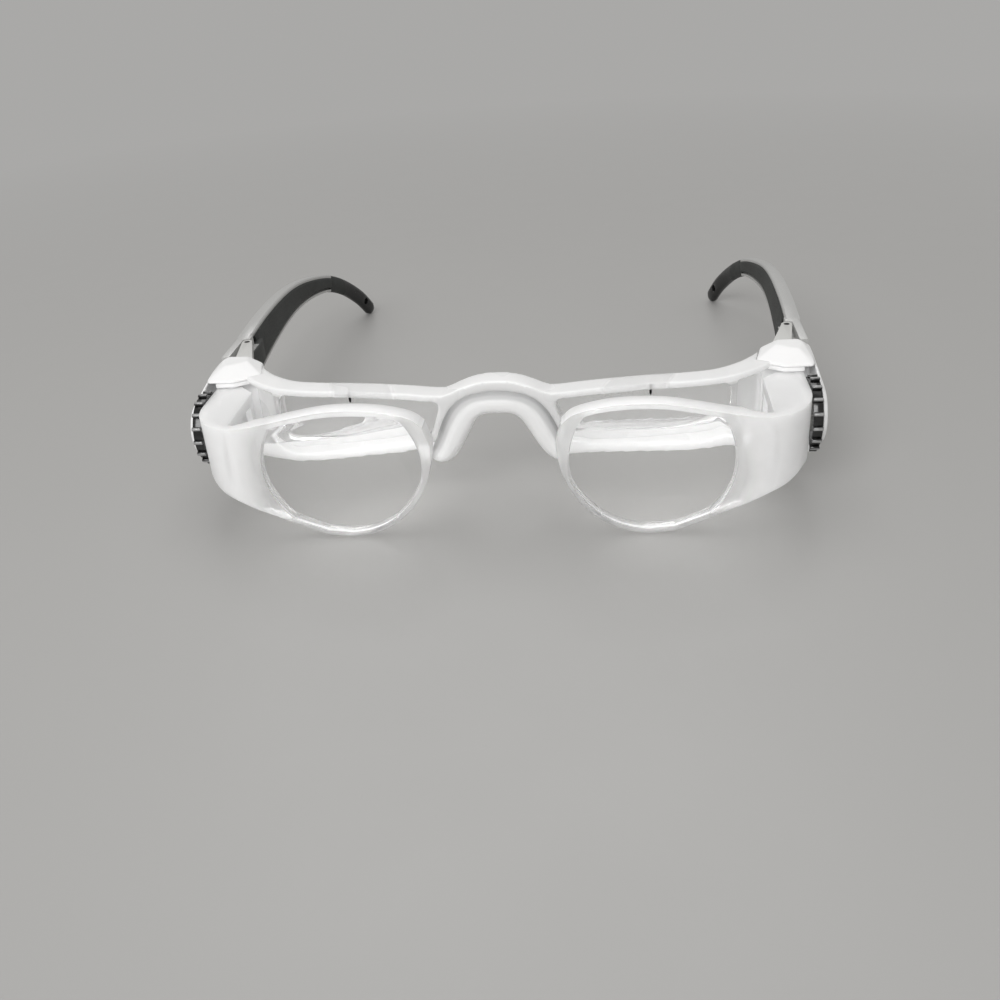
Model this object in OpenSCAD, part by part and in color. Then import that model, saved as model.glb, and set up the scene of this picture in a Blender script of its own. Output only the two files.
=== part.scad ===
// Telescopic magnifier glasses: two objective lenses in sliding front carriers, each
// focused by a thumb wheel, ahead of a rear frame with the eyepiece lenses.
// X runs across the face, Y from the objectives back to the ear hooks, Z up.
// Left and right are the wearer's: the wearer looks along -Y, so left is +X.
// Sizes along Y are counted from the front face of the carrier rims.

/* [Overall] */
// Width across the two outer covers
overall_w = 155; // [150:1:160]
// Length from the carrier rims to the ends of the ear hooks
overall_l = 164; // [162:1:168]

/* [Objective carriers] */
// Distance of each objective's centre inside the outer cover's face
objective_in = 41.3; // [40:0.1:42.5]
// Height of each objective's centre above the table
objective_z = 18.8; // [18.4:0.1:19.2]
// Radius of the round opening for the objective
objective_r = 19.2; // [18.6:0.1:19.4]
// Thickness of the objective at its middle
objective_t = 4; // [3.4:0.1:4.3]
// Radius of the objective's domed back
objective_dome_r = 85; // [80:1:140]
// Height of the carrier over its brow
carrier_h = 33.3; // [32.6:0.1:34]
// Width of the rim where the outline trims the lens
rim_w = 1.2; // [1:0.1:1.5]
// Depth of the rim from front to back
rim_depth = 4.6; // [4.6:0.1:5.2]
// Outer radius of the corner where the front turns into the side
corner_r = 16; // [15:0.25:16.5]
// Thickness of the corner and of the sliding side wall
wall_t = 2.2; // [1.8:0.1:2.3]
// Lower edge of the sliding side wall
wall_z = 13; // [12.8:0.1:13.6]
// Upper edge of the sliding side wall
wall_top = 28.3; // [27.8:0.1:28.5]
// Rear end of the sliding side wall
wall_end = 36.5; // [35.5:0.25:37]

/* [Focusing] */
// Travel of a carrier towards the object
travel_front = 5; // [3:0.5:5]
// Travel of a carrier towards the eye
travel_rear = 3; // [1:0.5:3]
// Distance of the wheel's axis from the front
wheel_y = 21; // [20.5:0.25:21.5]
// Height of the wheel's axis
wheel_z = 20.3; // [20:0.1:20.5]
// Radius of the wheel over its ribs
wheel_r = 9.3; // [9:0.1:9.6]
// Width of the wheel
wheel_w = 2.3; // [2:0.1:2.4]
// Ribs round the wheel
wheel_ribs = 16; // [12:1:20]
// Height of a rib
rib_h = 0.9; // [0.6:0.1:1.2]
// Width of a rib at its crest
rib_w = 0.9; // [0.7:0.1:1.2]
// Teeth of the pinion
pinion_teeth = 10; // [9:1:10]
// Module of the pinion and the rack
tooth_module = 0.8; // [0.76:0.02:0.8]
// Radius of the wheel's axle
axle_r = 1; // [0.8:0.1:1.2]

/* [Rear frame] */
// Height of the brow bar's top face
brow_z = 30.7; // [30.3:0.1:31]
// Depth of the brow bar from front to back
brow_depth = 6; // [5.6:0.1:6.4]
// Thickness of the rim round an eyepiece lens
eye_rim = 1.6; // [1.3:0.1:1.8]
// Underside of the rear frame
eye_z = 11.6; // [11.2:0.1:12]
// Thickness of the clear wing beside the lens
wing_t = 1.8; // [1.4:0.1:2.4]
// Thickness of the eyepiece lens at its middle
eye_lens_t = 1.8; // [1.4:0.1:2.2]
// Radius of the eyepiece lens's hollow faces
eye_dish_r = 150; // [140:5:300]
// Top of the bridge over the nose
bridge_z = 34; // [33.6:0.1:34.4]
// Depth of the nose saddle from front to back
saddle_depth = 9; // [8:0.25:9.5]

/* [End housings] */
// Rear face of the housing
housing_end = 41.8; // [41.6:0.05:42]
// Thickness of the guide bracket inside the sliding wall
bracket_t = 2.1; // [1.8:0.1:2.4]
// Front end of the guide bracket
bracket_y = 18.2; // [18:0.1:18.6]
// Height of the housing's top lip above the table
cap_z = 31.7; // [31.5:0.1:32]
// Thickness of the outer cover
cover_t = 1.15; // [0.9:0.05:1.3]
// Radius of the cover where it carries the axle
cover_r = 7.4; // [6.8:0.1:8]

/* [Temples] */
// Distance of the hinge pin inside the outer cover's face
pivot_in = 4.5; // [4.3:0.1:4.7]
// Distance of the hinge pin from the front
pivot_y = 53.2; // [53:0.1:53.6]
// Radius of the hinge pin
pin_r = 0.75; // [0.6:0.05:0.85]
// Height of the temple behind the hinge
temple_h = 11; // [10:0.25:11.5]
// Width of the temple behind the hinge
temple_w = 4.4; // [4:0.1:4.8]
// Wall of the temple's outer shell
shell_t = 1.6; // [1.2:0.1:1.8]
// Radius of the cord hole in the ear hook
eyelet_r = 1.1; // [0.9:0.1:1.2]

/* [Fits] */
// Gap between sliding or turning faces
slide_gap = 0.2; // [0.15:0.01:0.25]
// Radial gap between a pin and what turns on it
run_gap = 0.05; // [0.03:0.01:0.08]
// Gap round a glued or pressed piece
seat_gap = 0.02; // [0.02:0.01:0.05]

/* [Hidden] */

$fn = 96;
eps = 0.01;
far = 60;

// The stack across the side, from the outer cover inwards
cover_out = overall_w / 2;
cover_in = cover_out - cover_t;
wheel_out = cover_in - slide_gap;
wheel_in = wheel_out - wheel_w;
wall_out = wheel_in - 2 * slide_gap;
wall_in = wall_out - wall_t;
objective_x = cover_out - objective_in;
pivot_x = cover_out - pivot_in;
bracket_out = wall_in - slide_gap;
bracket_in = bracket_out - bracket_t;

// Rack and pinion
pressure_angle = 25;
pinion_r = pinion_teeth * tooth_module / 2;
tooth_pitch = PI * tooth_module;
tooth_up = 0.7 * tooth_module;
tooth_down = 0.95 * tooth_module;
backlash = 0.12;
pinion_tip_r = pinion_r + tooth_up;
rack_z = wheel_z - pinion_r;
window_front = wheel_y - pinion_tip_r - travel_rear - 2 * slide_gap;
window_rear = wheel_y + pinion_tip_r + travel_front + 2 * slide_gap;
window_top = wheel_z + pinion_tip_r + 2 * slide_gap;
hex_r = axle_r + 1.5;
hex_l = 0.6 * wheel_w;

// Smooth curve through a list of points, n steps to each stretch
function curve_at(a, b, c, d, t) = 0.5 * (2 * b + (c - a) * t
    + (2 * a - 5 * b + 4 * c - d) * t * t + (3 * b - a - 3 * c + d) * t * t * t);
function spline(p, n) = let (last = len(p) - 1) concat(
    [for (i = [0:last - 1], k = [0:n - 1])
        curve_at(p[max(i - 1, 0)], p[i], p[i + 1], p[min(i + 2, last)], k / n)],
    [p[last]]);
function backwards(p) = [for (i = [len(p) - 1:-1:0]) p[i]];
function unit(v) = v / norm(v);
function arc(cx, cy, rx, ry, from, to, n) =
    [for (i = [0:n]) let (a = from + (to - from) * i / n) [cx + rx * cos(a), cy + ry * sin(a)]];

// A strip of even width along a plan curve
function normal_at(p, i) = let (t = unit(p[min(i + 1, len(p) - 1)] - p[max(i - 1, 0)])) [-t.y, t.x];
function strip(p, half) = concat(
    [for (i = [0:len(p) - 1]) p[i] + normal_at(p, i) * half],
    [for (i = [len(p) - 1:-1:0]) p[i] - normal_at(p, i) * half]);

// A closed skin over rings of points, from the first ring to the last
module loft(rings) {
    n = len(rings[0]);
    last = len(rings) - 1;
    skin = [for (i = [0:last - 1], j = [0:n - 1])
        let (a = i * n + j, b = i * n + (j + 1) % n)
        each [[a, b, a + n], [b, b + n, a + n]]];
    polyhedron(
        points = [for (r = rings) each r],
        faces = concat([[for (j = [n - 1:-1:0]) j]], skin, [[for (j = [0:n - 1]) last * n + j]]),
        convexity = 6);
}

// Outlines drawn in one view and extruded along the view's axis
module from_front(depth) {
    translate([0, depth, 0]) rotate([90, 0, 0]) linear_extrude(2 * depth) children();
}
module from_side(x0, x1) {
    translate([x0, 0, 0]) rotate([90, 0, 90]) linear_extrude(x1 - x0) children();
}

module placed() { translate([0, -overall_l / 2, 0]) children(); }
module left_side() { placed() children(); }
module right_side() { placed() mirror([1, 0, 0]) children(); }

// OBJECTIVE CARRIER
// Front outline, drawn inset by d: inner side as an ellipse, underside rising to
// the side wall, and the brow, whose points are set from the lens and the brow's top
inner_a = 21.5;
inner_z = 24;
brow_points = [[-20.3, 4.6], [-17.9, 2.5], [-13.9, 1.2], [-8.9, 0.3], [-2.9, 0], [3.6, 0.3],
    [10, 1.4], [15.8, 2.6], [20.8, 3.5], [26, 4.2], [31, 4.7]];
under_points = [[11.4, 3], [16.4, 5.3], [21.3, 7.5], [26.3, 9.6], [31.6, 11.2]];
function brow_line(d) = spline(concat(
    [for (p = brow_points) [objective_x + p.x + (p.x < -17 ? d : 0), carrier_h - p.y - d]],
    [[wall_in, wall_top - d]]), 4);
function carrier_outline(d) = concat(
    [[far + wall_in, wall_top]],
    backwards(brow_line(d)),
    arc(objective_x - 0.2, inner_z, inner_a - d, inner_z - d, 180, 270, 24),
    spline(concat([[objective_x + 5.5, 0.6 + d]],
        [for (p = under_points) [objective_x + p.x, p.y + d]],
        [[wall_in, wall_z + d]]), 4),
    [[far + wall_in, wall_z]]);

// Plan of the front plate and its corner
corner_x = wall_out - corner_r;
corner_in = corner_r - wall_t;
plate_end = objective_x + objective_r + rim_w;
module carrier_plan() {
    polygon(concat(
        [[0, 0]],
        arc(corner_x, corner_r, corner_r, corner_r, -90, 0, 32),
        [[wall_out, corner_r + 1], [wall_in, corner_r + 1]],
        arc(corner_x, corner_r, corner_in, corner_in, 0, -72, 24),
        [[plate_end + 1.6, rim_depth - 0.9], [plate_end, rim_depth], [0, rim_depth]]));
}
ledge_w = 0.5;
lens_front = 0.1;
module lens_shape(grow) {
    intersection() {
        from_front(far) polygon(carrier_outline(rim_w - grow));
        translate([objective_x, 0, objective_z]) rotate([-90, 0, 0])
            translate([0, 0, -far]) cylinder(h = 2 * far, r = objective_r + grow);
    }
}
// The lens, flat in front and domed behind; its seat is the same form, grown and open in front
module lens_body(grow, dome_grow, front_y) {
    intersection() {
        lens_shape(grow);
        translate([0, front_y, 0]) cube([far + wall_in, far, far]);
        translate([objective_x, lens_front + objective_t - objective_dome_r, objective_z])
            sphere(r = objective_dome_r + dome_grow, $fn = 240);
    }
}
// The arm is a box open below: a top web and an inner wall with a window, beside the sliding wall
arm_in = wall_in - 7.75;
arm_t = 1.5;
arm_end = 24;
web_t = 1.4;
web_end = 27.8;
web_cut = 3.6;
arm_low = wall_z;
arm_front = 2.8;
arm_window = [14.5, 21, 7, 4.5];
module arm_box() {
    inset = 0.3;
    arc_r = corner_r - inset;
    translate([0, 0, wall_top - web_t]) linear_extrude(web_t) polygon(concat(
        [[arm_in, arm_front]],
        arc(corner_x, corner_r, arc_r, arc_r, -acos((arm_in - corner_x) / arc_r), 0, 16),
        [[wall_in + inset, corner_r], [wall_in + inset, web_end], [arm_in + web_cut, web_end],
         [arm_in, web_end - web_cut]]));
    difference() {
        translate([arm_in, arm_front, arm_low])
            cube([arm_t, arm_end - arm_front, wall_top - web_t / 2 - arm_low]);
        translate([arm_in - 1, arm_window[0], arm_window[1]])
            cube([arm_t + 2, arm_window[2], arm_window[3]]);
    }
}
function rack_line() = let (
    half = tooth_pitch / 4 - backlash / 2,
    lean = tan(pressure_angle),
    first = floor((window_front - wheel_y) / tooth_pitch),
    last = ceil((window_rear - wheel_y) / tooth_pitch))
    [for (i = [first:last]) let (y = wheel_y + (i + 0.5) * tooth_pitch)
        each [[y - half - tooth_down * lean, rack_z - tooth_down],
              [y - half + tooth_up * lean, rack_z + tooth_up],
              [y + half - tooth_up * lean, rack_z + tooth_up],
              [y + half + tooth_down * lean, rack_z - tooth_down]]];
module rack() {
    line = rack_line();
    intersection() {
        from_side(wall_in, wall_out) polygon(concat(
            line, [[line[len(line) - 1].x, wall_z + 1], [line[0].x, wall_z + 1]]));
        translate([wall_in - 1, window_front - eps, wall_z])
            cube([wall_t + 2, window_rear - window_front + 2 * eps, far]);
    }
}
module objective_carrier() {
    color([0.93, 0.94, 0.94, 0.8]) {
        difference() {
            union() {
                intersection() {
                    linear_extrude(far) carrier_plan();
                    from_front(far) polygon(carrier_outline(0));
                }
                translate([wall_in, corner_r, wall_z])
                    cube([wall_t, wall_end - corner_r, wall_top - wall_z]);
                arm_box();
            }
            lens_body(0, seat_gap, -1);
            lens_shape(-ledge_w);
            translate([wall_in - 2, window_front, rack_z - tooth_down])
                cube([wall_t + 4, window_rear - window_front, window_top - rack_z + tooth_down]);
        }
        rack();
    }
}

// OBJECTIVE LENS
module objective_lens() {
    color([0.85, 0.9, 0.92, 0.35]) lens_body(-seat_gap, 0, lens_front);
}

// FOCUS WHEEL AND PINION, both on the axle along X
module on_axle(x) { translate([x, wheel_y, wheel_z]) rotate([0, 90, 0]) children(); }
module focus_wheel() {
    core_r = wheel_r - rib_h;
    rim_step = 0.5;
    color([0.06, 0.06, 0.065])
    on_axle(wheel_in) difference() {
        union() {
            cylinder(h = wheel_w, r = core_r);
            for (i = [0:wheel_ribs - 1]) rotate(360 / wheel_ribs * i)
                linear_extrude(wheel_w) polygon([
                    [core_r - rim_step, -rib_w], [wheel_r, -rib_w / 2],
                    [wheel_r, rib_w / 2], [core_r - rim_step, rib_w]]);
        }
        translate([0, 0, -1]) cylinder(h = wheel_w + 2, r = axle_r + run_gap);
        translate([0, 0, -1]) cylinder(h = hex_l + 1 + seat_gap, r = hex_r + seat_gap, $fn = 6);
        translate([0, 0, wheel_w - rim_step]) difference() {
            cylinder(h = wheel_w, r = core_r - 1.5);
            translate([0, 0, -1]) cylinder(h = wheel_w + 2, r = hex_r + 1);
        }
    }
}

// Half the angle of a pinion tooth at radius r, on an involute flank
function involute(angle) = tan(angle) * 180 / PI - angle;
base_r = pinion_r * cos(pressure_angle);
function tooth_angle(r) = (tooth_pitch / 4 - backlash / 2) / pinion_r * 180 / PI
    + involute(pressure_angle) - involute(acos(min(1, base_r / r)));
module focus_pinion() {
    root_r = pinion_r - tooth_down;
    steps = 5;
    flank = [for (i = [0:steps]) base_r + (pinion_tip_r - base_r) * i / steps];
    color([0.9, 0.9, 0.88])
    on_axle(bracket_out + slide_gap) difference() {
        union() {
            linear_extrude(wheel_in - bracket_out - slide_gap) union() {
                circle(r = root_r);
                for (i = [0:pinion_teeth - 1]) rotate(360 / pinion_teeth * i) polygon(concat(
                    [[0, 0], [root_r * cos(tooth_angle(base_r)), root_r * sin(tooth_angle(base_r))]],
                    [for (r = flank) r * [cos(tooth_angle(r)), sin(tooth_angle(r))]],
                    [for (r = backwards(flank)) r * [cos(tooth_angle(r)), -sin(tooth_angle(r))]],
                    [[root_r * cos(tooth_angle(base_r)), -root_r * sin(tooth_angle(base_r))]]));
            }
            cylinder(h = wheel_in - bracket_out - slide_gap + hex_l, r = hex_r, $fn = 6);
        }
        translate([0, 0, -1]) cylinder(h = far, r = axle_r + run_gap);
    }
}
axle_seat = 0.6;
module wheel_axle() {
    color([0.75, 0.76, 0.78])
    on_axle(bracket_in + axle_seat)
        cylinder(h = cover_in + cover_t / 2 - bracket_in - axle_seat, r = axle_r);
}

// REAR FRAME
// Plan curve of the brow, from the middle of the bridge to the housing
housing_in = bracket_in - 6;
brow_half = [[0, 16.4], [10, 15.9], [16, 16.4], [22, 17.8], [housing_in - 28, 20],
    [housing_in - 18, 20.9], [housing_in - 10.5, 22.4], [housing_in - 4.5, 25.8],
    [housing_in + 0.4, 30.5], [housing_in + 4.5, 36]];
brow_plan = spline(concat(
    [for (i = [len(brow_half) - 1:-1:1]) [-brow_half[i].x, brow_half[i].y]], brow_half), 5);
eye_in = 14.1;
eye_rise = 2.2;
eye_out = housing_in - 7.35;
// Line where the bridge meets the nose saddle, from the middle to the foot
saddle_top = bridge_z - 2.6;
seat_line = [[0, saddle_top], [4.2, saddle_top - 0.3], [8.4, saddle_top - 1.6], [11.4, 27.2],
    [13.5, 23.6], [15.2, 19.4], [17, 15.8], [19, 13.4]];
bridge_line = [[0, bridge_z], [4, bridge_z - 0.2], [8, bridge_z - 1.3], [11, bridge_z - 2.6],
    [13, brow_z]];
// Outline of the eyepiece opening, drawn inset by d
function eye_outline(d) = concat(
    spline([[eye_in + d, 27], [eye_in + 2 + d, 21.5], [eye_in + 4 + d, 18.2],
        [eye_in + 7.2 + d, eye_z + eye_rim + eye_rise + 1 + d],
        [eye_in + 11 + d, eye_z + eye_rim + eye_rise * 0.85 + d]], 4),
    arc(eye_out - 7 - d, eye_z + eye_rim + 7 + d, 7, 7, -90, 0, 10),
    [[eye_out - d, brow_z - eye_rim - 1.5 - d], [eye_out - 1.5 - d, brow_z - eye_rim - d],
     [eye_in + 1.4 + d, brow_z - eye_rim - d], [eye_in + d, brow_z - eye_rim - 0.6 - d]]);
module mirrored() { children(); mirror([1, 0, 0]) children(); }
module rear_frame() {
    ring_end = eye_out + eye_rim;
    color([0.88, 0.9, 0.9, 0.7]) placed() difference() {
        union() {
            intersection() {
                linear_extrude(far) polygon(strip(brow_plan, brow_depth / 2));
                mirrored() from_front(far) difference() {
                    union() {
                        polygon(concat(spline(bridge_line, 4), [[ring_end, brow_z]],
                            arc(ring_end - 8, eye_z + 8, 8, 8, 0, -90, 10),
                            [[24, eye_z + eye_rise * 0.85]], backwards(spline(seat_line, 4))));
                        translate([ring_end - 3, brow_z - eye_rim]) square([far, eye_rim]);
                    }
                    polygon(eye_outline(0));
                }
            }
            intersection() {
                linear_extrude(far) polygon(strip(brow_plan, wing_t / 2));
                mirrored() from_front(far) translate([ring_end - 1, eye_z + 3])
                    square([far, brow_z - eye_z - 3 - eye_rim / 2]);
            }
        }
        mirrored() linear_extrude(far) housing_plan(slide_gap / 2, cap_y);
    }
}

// EYEPIECE LENS, a flat hollow lens set along the brow's chord
lens_chord = [[eye_in + 3.4, 16.8], [eye_out - 0.6, 23.4]];
lens_turn = atan2(lens_chord[1].y - lens_chord[0].y, lens_chord[1].x - lens_chord[0].x);
lens_mid = (lens_chord[0] + lens_chord[1]) / 2;
eye_lens_edge = 3.4;
module eyepiece_lens() {
    color([0.85, 0.9, 0.92, 0.35])
    intersection() {
        from_front(far) polygon(eye_outline(seat_gap));
        translate([lens_mid.x, lens_mid.y, (eye_z + brow_z) / 2]) rotate(lens_turn)
        difference() {
            cube([far, eye_lens_edge, far], center = true);
            for (s = [-1, 1]) translate([0, s * (eye_lens_t / 2 + eye_dish_r), 0])
                sphere(r = eye_dish_r, $fn = 360);
        }
    }
}

// NOSE SADDLE, a soft U whose upper side lies along the bridge
saddle_in = [[0, 25.1], [3.2, 24.9], [5.3, 23.3], [7.2, 20], [9.1, 16.4], [11, 13.6], [13, 12],
    [15.4, 11.2]];
saddle_y = 17;
saddle_flare = 1.6;
function saddle_ring(a, b, k, shrink) = let (
    mid = (a + b) / 2,
    half = (a - b) / 2 * shrink,
    deep = saddle_depth / 2 * shrink)
    [for (i = [0:15]) let (
        t = i * 22.5,
        round = cos(t) > 0 ? 1 : 0.7,
        c = sign(cos(t)) * pow(abs(cos(t)), round),
        s = sign(sin(t)) * pow(abs(sin(t)), round))
        [mid.x + half.x * c, saddle_y + saddle_flare * k + deep * s, mid.y + half.y * c]];
module nose_saddle() {
    top = spline(seat_line, 3);
    low = spline(saddle_in, 3);
    n = len(top) - 1;
    clear = 0.1;
    half_rings = [for (i = [0:n]) let (
        a = top[i] + unit(low[i] - top[i]) * clear,
        k = i / n,
        shrink = i < n - 2 ? 1 : [0.93, 0.78, 0.45][i - n + 2])
        saddle_ring(a, low[i], k, shrink)];
    rings = concat(
        [for (r = backwards(half_rings)) [for (p = r) [-p.x, p.y, p.z]]],
        [for (i = [1:n]) half_rings[i]]);
    color([0.9, 0.92, 0.92, 0.8]) placed() loft(rings);
}

// END HOUSING: guide bracket, channel for the sliding wall, and the hinge lug
channel_end = wall_end + travel_rear + 0.7;
outer_wall_y = wheel_y + wheel_r + 2;
cap_y = 27.2;
ledge_z = wall_z - 1.7;
lug_h = 2.5;
lug_top = 31;
lug_low = lug_top - temple_h;
lug_end_r = 1.4;
lug_root = housing_end - 1;
lug_web = 3.6;
lid_t = 0.9;
ledge_h = 1.4;
ledge_w_x = wall_out + slide_gap - bracket_in;
cap_low = wall_top + slide_gap + lid_t;
// Plan of the housing and its cap; the front edge of each lies at its own distance
module housing_plan(grow, front_y) {
    polygon([
        [bracket_in - 6.5 - grow, outer_wall_y - 1.5 - grow], [bracket_in - grow, front_y - grow],
        [cover_in - 0.8, front_y - grow], [cover_in - slide_gap / 2 + grow, front_y + 1.2],
        [cover_in - slide_gap / 2 + grow, housing_end - 1], [cover_in - 1.2, housing_end + grow],
        [bracket_in - 1.5, housing_end + grow], [bracket_in - 4.5 - grow, housing_end - 2.5 + grow]]);
}
lug_in = bracket_in - 1.15;
lug_out = wall_in + 1.2;
module lug_plan() {
    polygon([[lug_in, lug_root], [lug_out, lug_root],
        [pivot_x + lug_end_r, pivot_y], [pivot_x - lug_end_r, pivot_y]]);
}
module end_housing() {
    bracket_l = lug_root - bracket_y;
    color([0.95, 0.95, 0.95]) difference() {
        union() {
            translate([0, 0, ledge_z]) linear_extrude(cap_low - ledge_z)
                housing_plan(0, outer_wall_y);
            translate([0, 0, cap_low - lid_t]) linear_extrude(lid_t) intersection() {
                housing_plan(0, cap_y);
                translate([0, cap_y]) square([bracket_in + ledge_w_x, outer_wall_y - cap_y + 1]);
            }
            translate([bracket_in, bracket_y, ledge_z])
                cube([bracket_t, bracket_l, wall_top - web_t - slide_gap - ledge_z]);
            translate([bracket_in, bracket_y, ledge_z]) cube([ledge_w_x, bracket_l, ledge_h]);
            for (z = [lug_low, lug_top - lug_h]) translate([0, 0, z]) {
                linear_extrude(lug_h) lug_plan();
                translate([pivot_x, pivot_y, 0]) cylinder(h = lug_h, r = lug_end_r);
            }
            intersection() {
                translate([0, 0, lug_low]) linear_extrude(temple_h) lug_plan();
                translate([lug_in - 1, lug_root, lug_low]) cube([far, lug_web, temple_h]);
            }
        }
        translate([bracket_out, bracket_y - 1, wall_z - slide_gap])
            cube([wall_t + 2 * slide_gap, channel_end - bracket_y + 1, wall_top - wall_z + 2 * slide_gap]);
        on_axle(bracket_in + axle_seat) cylinder(h = far, r = axle_r + seat_gap);
        translate([pivot_x, pivot_y, lug_low - 1]) cylinder(h = far, r = pin_r + seat_gap);
    }
}

// OUTER COVER: the top cap and the side plate that carries the axle's outer end
cap_seat = 0.05;
module outer_cover() {
    color([0.97, 0.97, 0.97]) {
        difference() {
            hull() {
                translate([0, 0, cap_low + cap_seat]) linear_extrude(0.7) {
                    housing_plan(0, cap_y);
                    translate([cover_in - 2, outer_wall_y + 3.5])
                        square([2.2, housing_end - outer_wall_y - 5.5]);
                }
                translate([0, 0, cap_z - 0.3]) linear_extrude(0.3) polygon([
                    [bracket_in - 1, housing_end - 4.5], [bracket_in + 2, cap_y + 8],
                    [cover_in - 3, cap_y + 7], [cover_in - 1.6, housing_end - 3],
                    [cover_in - 2.6, housing_end - 1], [bracket_in, housing_end - 1.2]]);
            }
            translate([lug_in - cap_seat, lug_root - cap_seat, cap_low - 1])
                cube([lug_out + 0.4 - lug_in, far, lug_top + cap_seat - cap_low + 1]);
        }
        difference() {
            hull() {
                on_axle(cover_in) cylinder(h = cover_t, r1 = cover_r, r2 = cover_r - 0.8);
                from_side(cover_in - slide_gap / 2, cover_in + 0.4) polygon([
                    [outer_wall_y + 2, cap_low + 0.7], [housing_end - 1, cap_low + 0.9],
                    [housing_end - 1, wall_z + 1], [housing_end - 3, wall_z - 1]]);
            }
            on_axle(cover_in - 1) cylinder(h = 1 + cover_t / 2, r = axle_r + seat_gap);
        }
    }
}

// TEMPLE
// Stations along the outer face. Outwards from the cover and back from the pin as shares of
// the temple's length, middle height as a share of the hinge's, height and width as shares of
// the temple behind the hinge, and the inner face's lean at its foot as a share of the width
temple_line = [
    [0.002, 0.039, 1, 1, 1, 0.27], [0.007, 0.197, 1.016, 0.96, 0.97, 0.16],
    [0.008, 0.377, 1.008, 0.87, 0.9, 0.05], [0.004, 0.531, 0.961, 0.76, 0.82, 0],
    [-0.01, 0.666, 0.878, 0.63, 0.76, 0], [-0.03, 0.783, 0.757, 0.54, 0.74, 0],
    [-0.057, 0.878, 0.565, 0.5, 0.74, 0], [-0.089, 0.946, 0.314, 0.48, 0.74, 0],
    [-0.113, 0.9944, 0.043, 0.44, 0.7, 0]];
temple_l = overall_l - pivot_y;
temple_z = lug_top - temple_h / 2;
shell_end = 5;
temple_steps = 4;
temple_stations = spline([for (p = temple_line)
    [cover_out + p[0] * temple_l, pivot_y + p[1] * temple_l, p[2] * temple_z,
     p[3] * temple_h, p[4] * temple_w, p[5] * temple_w]], temple_steps);
function station_at(i) = let (
    s = temple_stations,
    p = s[i],
    d = s[min(i + 1, len(s) - 1)] - s[max(i - 1, 0)],
    t = unit([d[0], d[1], d[2]]),
    side = unit(cross(t, [0, 0, 1])))
    [[p[0], p[1], p[2]], side, cross(side, t), p[3], p[4], p[5]];
function ring_of(i, section) = let (f = station_at(i))
    [for (q = section) f[0] + f[1] * q.x + f[2] * q.y];

liner_gap = 0.05;
lip_t = 1;
function shell_section(h, w, lean) = [[-0.6, -h / 2], [-0.1, -h / 4], [0, 0], [-0.1, h / 4],
    [-0.7, h / 2 - 0.15], [-w + 0.4, h / 2], [-w, h / 2 - 0.4], [-w, h / 2 - lip_t],
    [-shell_t, h / 2 - lip_t], [-shell_t, -h / 2 + 1.5 * lip_t], [-w - lean, -h / 2 + lip_t],
    [-w - lean, -h / 2 + 0.3]];
function liner_section(h, w, lean) = let (
    top = h / 2 - lip_t - liner_gap, low = -h / 2 + 1.5 * lip_t + 2 * liner_gap)
    [[-shell_t - liner_gap, low], [-shell_t - liner_gap, top], [-w, top],
     [-w - 0.35, top - 0.5], [-w - lean - 0.35, low + 0.5], [-w - lean, low]];
function tip_section(h, w) = [for (i = [0:11]) let (a = i * 30)
    [-w / 2 + (w / 2 + 0.15) * cos(a), h / 2 * sign(sin(a)) * pow(abs(sin(a)), 0.8)]];

// The hinge end is forked round the lug: an outer wall and a tongue on the pin
wall_x = pivot_x + lug_end_r + 0.35;
outer_x = temple_stations[0][0];
joined = temple_stations[0][1] + 0.9;
back_x = outer_x - temple_w + 0.35;
front_y = housing_end + 0.5;
tongue_low = lug_low + lug_h + slide_gap;
tongue_top = lug_top - lug_h - slide_gap;
tongue_r = 1.4;
tongue_in = pivot_x - tongue_r;
tongue_y = pivot_y - 7;
root_gap = 3.3;
root_depth = 0.7;
root_share = 0.95;
end_step = 0.12;
root_cut = 0.3;
module hinge_end() {
    bevel = 1;
    difference() {
        intersection() {
            translate([0, 0, lug_low]) linear_extrude(temple_h) polygon([
                [wall_x, front_y], [outer_x - 0.9, front_y], [outer_x, joined],
                [tongue_in, joined], [tongue_in, pivot_y + root_gap],
                [wall_x, pivot_y + lug_end_r + 0.6]]);
            from_front(far + joined) polygon([
                [0, lug_low + end_step], [outer_x - bevel, lug_low + end_step],
                [outer_x - end_step, lug_low + end_step + 1.6 * bevel],
                [outer_x - end_step, lug_top - end_step - 1.6 * bevel],
                [outer_x - bevel, lug_top - end_step], [0, lug_top - end_step]]);
        }
        translate([tongue_in - 1, pivot_y, tongue_top - root_cut]) cube([1 + tongue_r, far, far]);
    }
    translate([tongue_in, tongue_y, tongue_low])
        cube([wall_x + 0.2 - tongue_in, joined - tongue_y, tongue_top - tongue_low]);
}
module temple_shell() {
    last = shell_end * temple_steps;
    root = station_at(0);
    color([0.76, 0.77, 0.76]) {
        difference() {
            hinge_end();
            translate([pivot_x, pivot_y, 0]) cylinder(h = far, r = pin_r + run_gap);
        }
        loft(concat(
            [[for (q = shell_section(root[3], root[4], root[5])) root[0]
                + root_depth * cross(root[1], root[2])
                + root[1] * (root_share * q.x - 0.1) + root[2] * root_share * q.y]],
            [for (i = [0:last]) let (f = station_at(i))
                ring_of(i, shell_section(f[3], f[4], f[5]))]));
    }
}
pad_l = 4.5;
pad_t = 0.6;
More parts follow.
